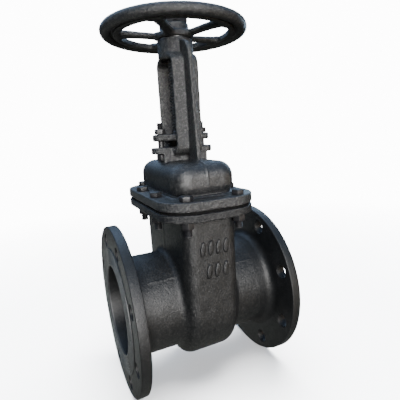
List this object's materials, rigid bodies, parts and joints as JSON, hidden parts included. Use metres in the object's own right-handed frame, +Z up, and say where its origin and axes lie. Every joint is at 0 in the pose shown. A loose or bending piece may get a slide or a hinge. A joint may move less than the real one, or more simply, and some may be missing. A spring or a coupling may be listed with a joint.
{
  "type": "gate valve",
  "caption": "Flanged cast-iron wedge gate valve with a rising stem, a two-leg yoke, a bolted bonnet and a spoked handwheel.",
  "frame": {"origin": "on the stem's axis, level with the lowest point of the two pipe flanges; the pipe's axis is at z = 0.1425", "axes": "+X along the pipe from inlet to outlet, +Z up the stem, the cast marks on the -Y side"},
  "size_m": [0.28, 0.285, 0.6205],
  "materials": {
    "cast_black_paint": "semi-gloss black paint on sand-cast iron",
    "wheel_black_paint": "semi-gloss black paint on a cast handwheel",
    "wedge_iron": "coated cast iron",
    "painted_fastener": "black paint over steel, worn on the corners",
    "bright_steel": "turned steel with a film of oil",
    "brass": "turned brass",
    "packing": "graphited braided packing",
    "gasket": "dull black sheet gasket"
  },
  "bodies": {
    "valve_body": {"body": "cast_black_paint", "bonnet": "cast_black_paint", "gland_flange": "cast_black_paint", "seat_ring_inlet": "brass", "seat_ring_outlet": "brass", "backseat_bush": "brass", "gland_bush": "brass", "thrust_washer": "bright_steel", "hub_washer": "bright_steel", "bonnet_bolt_1": "painted_fastener", "bonnet_bolt_2": "painted_fastener", "bonnet_bolt_3": "painted_fastener", "bonnet_bolt_4": "painted_fastener", "bonnet_bolt_5": "painted_fastener", "bonnet_bolt_6": "painted_fastener", "bonnet_bolt_7": "painted_fastener", "bonnet_bolt_8": "painted_fastener", "bonnet_nut_1": "painted_fastener", "bonnet_nut_2": "painted_fastener", "bonnet_nut_3": "painted_fastener", "bonnet_nut_4": "painted_fastener", "bonnet_nut_5": "painted_fastener", "bonnet_nut_6": "painted_fastener", "bonnet_nut_7": "painted_fastener", "bonnet_nut_8": "painted_fastener", "gland_bolt_left": "painted_fastener", "gland_bolt_right": "painted_fastener", "gland_nut_left": "painted_fastener", "gland_nut_right": "painted_fastener", "packing_ring_1": "packing", "packing_ring_2": "packing", "packing_ring_3": "packing", "bonnet_gasket": "gasket"},
    "wheel": {"handwheel": "wheel_black_paint", "stem_nut": "brass", "handwheel_key": "bright_steel", "handwheel_nut": "painted_fastener"},
    "stem": {"stem": "bright_steel", "wedge": "wedge_iron", "wedge_ring_inlet": "brass", "wedge_ring_outlet": "brass"}
  },
  "joints": [
    {"name": "handwheel_turn", "type": "hinge", "parent": "valve_body", "child": "wheel", "pos_m": [0, 0, 0.5923], "axis": [0, 0, 1], "range_deg": [0, 10800]},
    {"name": "stem_rise", "type": "slide", "parent": "valve_body", "child": "stem", "axis": [0, 0, 1], "range_m": [0, 0.15]}
  ],
  "couplings": [
    {"joint": "stem_rise", "follows": "handwheel_turn", "m_per_rad": 0.00079577}
  ]
}
